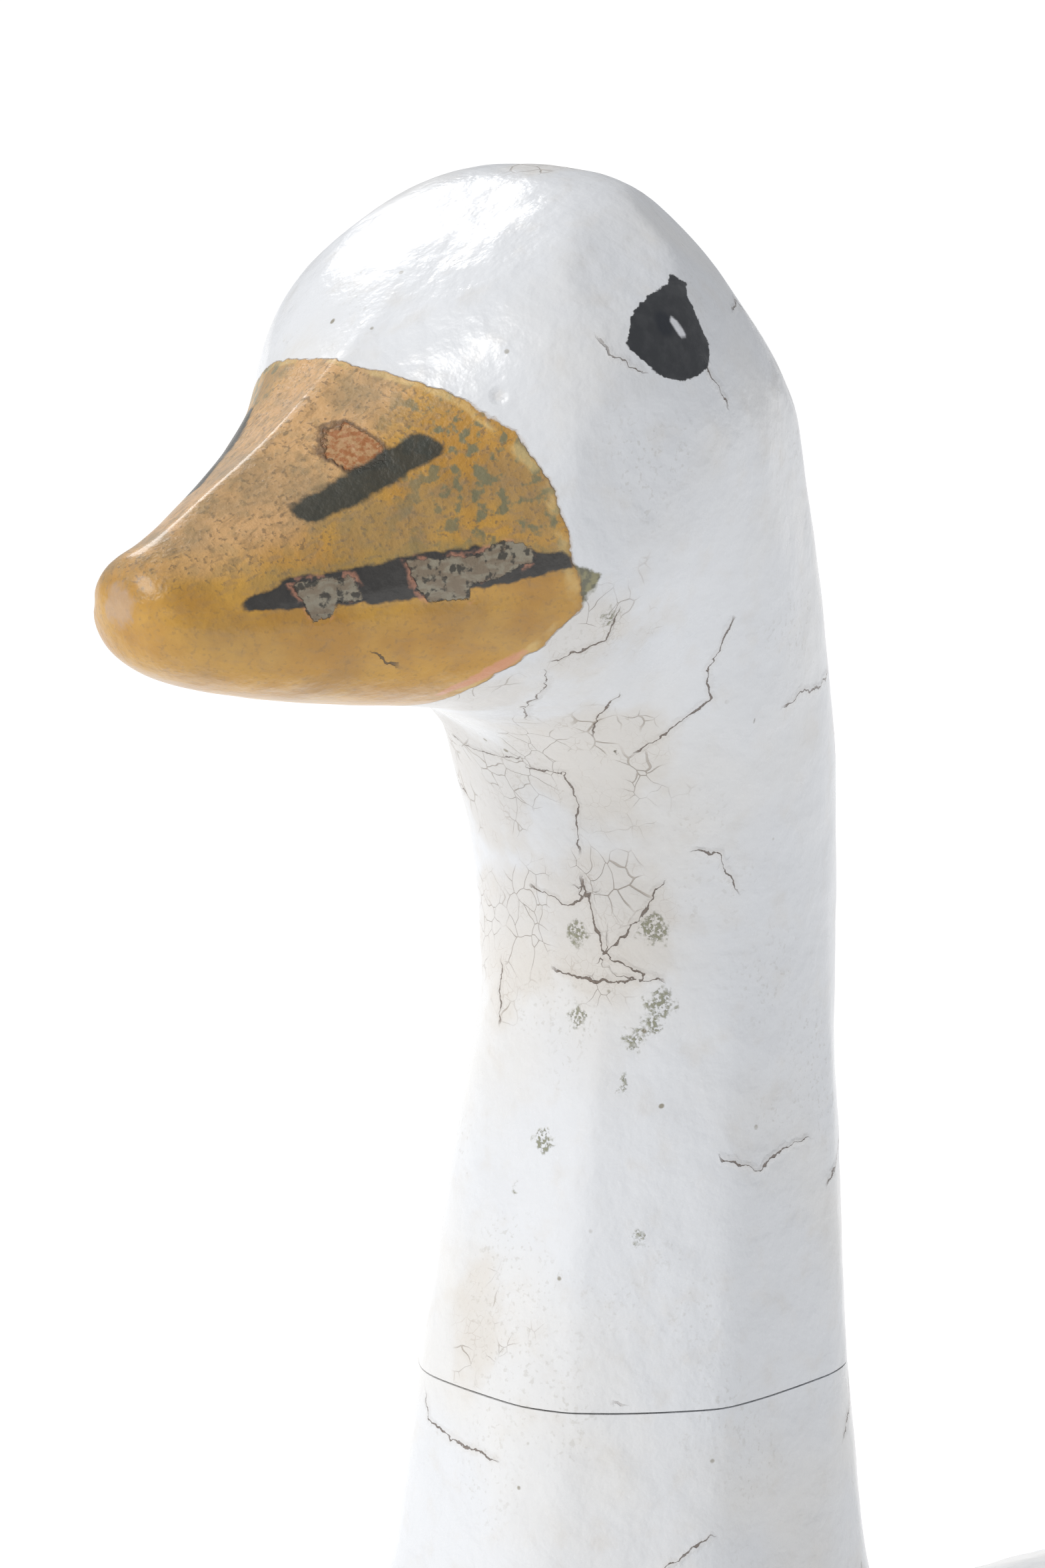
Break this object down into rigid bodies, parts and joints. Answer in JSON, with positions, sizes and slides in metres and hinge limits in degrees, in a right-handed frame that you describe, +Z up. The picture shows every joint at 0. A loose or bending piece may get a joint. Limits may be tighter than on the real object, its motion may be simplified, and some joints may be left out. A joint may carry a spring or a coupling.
{
  "type": "goose decoy",
  "caption": "Hollow carved wooden goose decoy, painted white with an ochre bill, with a lift-off turning head and neck, flat bottom, stake socket, weight and tie ring.",
  "frame": {"origin": "on the ground under the middle of the bounding box, on the plane of symmetry", "axes": "+Z is up, the bird faces -Y, its left side is +X"},
  "size_m": [0.251, 0.5643, 0.4603],
  "materials": {
    "white_paint": "thick glossy white oil paint over wood, hand brushed, cracked and weathered",
    "bill_paint": "glossy ochre oil paint over wood, worn, cracked and stained",
    "hardwood": "bare turned hardwood, glued",
    "softwood": "bare sawn softwood",
    "steel": "zinc plated, dull",
    "brass": "aged brass, satin, tarnished in the recesses",
    "lead": "dull grey cast metal",
    "leather": "oiled vegetable tanned leather"
  },
  "bodies": {
    "body": {"neck_base": "white_paint", "neck_bush": "brass", "neck_base_dowels": "hardwood", "body_back": "white_paint", "body_belly": "white_paint", "body_dowels": "hardwood", "bottom_board": "white_paint", "bottom_screws": "brass", "tail_board": "white_paint", "tail_dowels": "hardwood", "wing_tip_left": "white_paint", "wing_tip_right": "white_paint", "ballast_weight": "lead", "ballast_screws": "brass", "stake_socket": "brass", "socket_block": "softwood", "socket_screws": "brass", "tie_eye": "brass"},
    "washer": {"friction_washer": "leather"},
    "head": {"head_block": "white_paint", "upper_mandible": "bill_paint", "lower_mandible": "bill_paint", "bill_dowel": "hardwood", "upper_neck": "white_paint", "head_post": "hardwood", "head_screw": "steel", "screw_washer": "steel", "crown_plug": "white_paint"},
    "ring": {"tie_ring": "brass"}
  },
  "joints": [
    {"name": "head_lift", "type": "slide", "parent": "body", "child": "washer", "axis": [0, 0, 1], "range_m": [0, 0.1]},
    {"name": "head_turn", "type": "hinge", "parent": "washer", "child": "head", "pos_m": [0, -0.165, 0.258], "axis": [0, 0, 1], "continuous": true},
    {"name": "ring_swing", "type": "hinge", "parent": "body", "child": "ring", "pos_m": [0, -0.271, 0.0483], "axis": [1, 0, 0], "range_deg": [-110, 35]}
  ]
}
